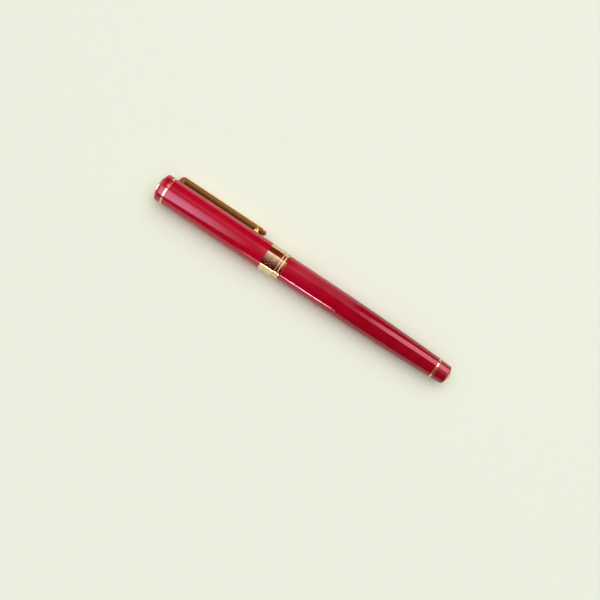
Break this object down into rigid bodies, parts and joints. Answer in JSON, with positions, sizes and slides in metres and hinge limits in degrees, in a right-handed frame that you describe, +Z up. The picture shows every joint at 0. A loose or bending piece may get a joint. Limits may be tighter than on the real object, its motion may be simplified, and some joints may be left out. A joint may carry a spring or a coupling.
{
  "type": "capped rollerball pen",
  "caption": "Capped pen with a lacquered barrel and pull-off cap, spring clip, engraved cap band, gold-plated trim rings, screw-in section and a replaceable refill.",
  "frame": {"origin": "on the pen's axis at the barrel's front shoulder, where the cap's lip stops", "axes": "+X along the pen's axis towards the cap's top and the writing tip, +Z up from the surface the pen lies on; the clip is on the -Y side, a little below the axis"},
  "size_m": [0.1364, 0.0145, 0.0116],
  "materials": {
    "red_lacquer": "gloss",
    "gold_plate": "polished",
    "brass": "satin",
    "black_gloss": "gloss",
    "liner_plastic": "satin",
    "steel": "satin",
    "nickel_silver": "polished",
    "carbide": "polished",
    "fibre": "matte"
  },
  "bodies": {
    "barrel": {"barrel": "red_lacquer", "thread_insert": "brass", "tail_plug": "brass", "tail_ring": "gold_plate", "tail_cap": "red_lacquer", "tail_disc": "gold_plate", "refill_spring": "steel"},
    "trim_ring": {"section_ring": "gold_plate"},
    "section": {"section_shank": "brass", "grip": "black_gloss", "nose_cone": "gold_plate"},
    "cap": {"cap_shell": "red_lacquer", "cap_band": "gold_plate", "cap_lip_ring": "gold_plate", "cap_liner": "liner_plastic", "cap_plug": "brass", "cap_top_ring": "gold_plate", "cap_finial": "red_lacquer", "finial_screw": "steel", "finial_disc": "gold_plate"},
    "clip": {"clip": "gold_plate"},
    "refill": {"refill_tube": "steel", "refill_front": "liner_plastic", "refill_tip": "nickel_silver", "feed_rod": "fibre", "ink_reservoir": "fibre", "refill_end_plug": "liner_plastic"},
    "ball": {"writing_ball": "carbide"}
  },
  "joints": [
    {"name": "thread_travel", "type": "slide", "parent": "barrel", "child": "trim_ring", "axis": [1, 0, 0], "range_m": [0, 0.006]},
    {"name": "section_unscrew", "type": "hinge", "parent": "trim_ring", "child": "section", "pos_m": [0, 0, 0], "axis": [1, 0, 0], "range_deg": [0, 2880]},
    {"name": "cap_pull", "type": "slide", "parent": "section", "child": "cap", "axis": [1, 0, 0], "range_m": [0, 0.065]},
    {"name": "clip_flex", "type": "hinge", "parent": "cap", "child": "clip", "pos_m": [0.053, -0.00507, -0.00226], "axis": [0, -0.4067, 0.9135], "range_deg": [0, 4], "stiffness_Nm_per_rad": 0.15},
    {"name": "refill_float", "type": "slide", "parent": "section", "child": "refill", "axis": [-1, 0, 0], "range_m": [0, 0.001], "stiffness_N_per_m": 60, "springref_m": -0.008, "deforming": ["refill_spring"]},
    {"name": "ball_roll", "type": "hinge", "parent": "refill", "child": "ball", "pos_m": [0.0457, 0, 0], "axis": [0, 1, 0], "continuous": true}
  ],
  "couplings": [
    {"joint": "section_unscrew", "follows": "thread_travel", "rad_per_m": 8377.6}
  ]
}
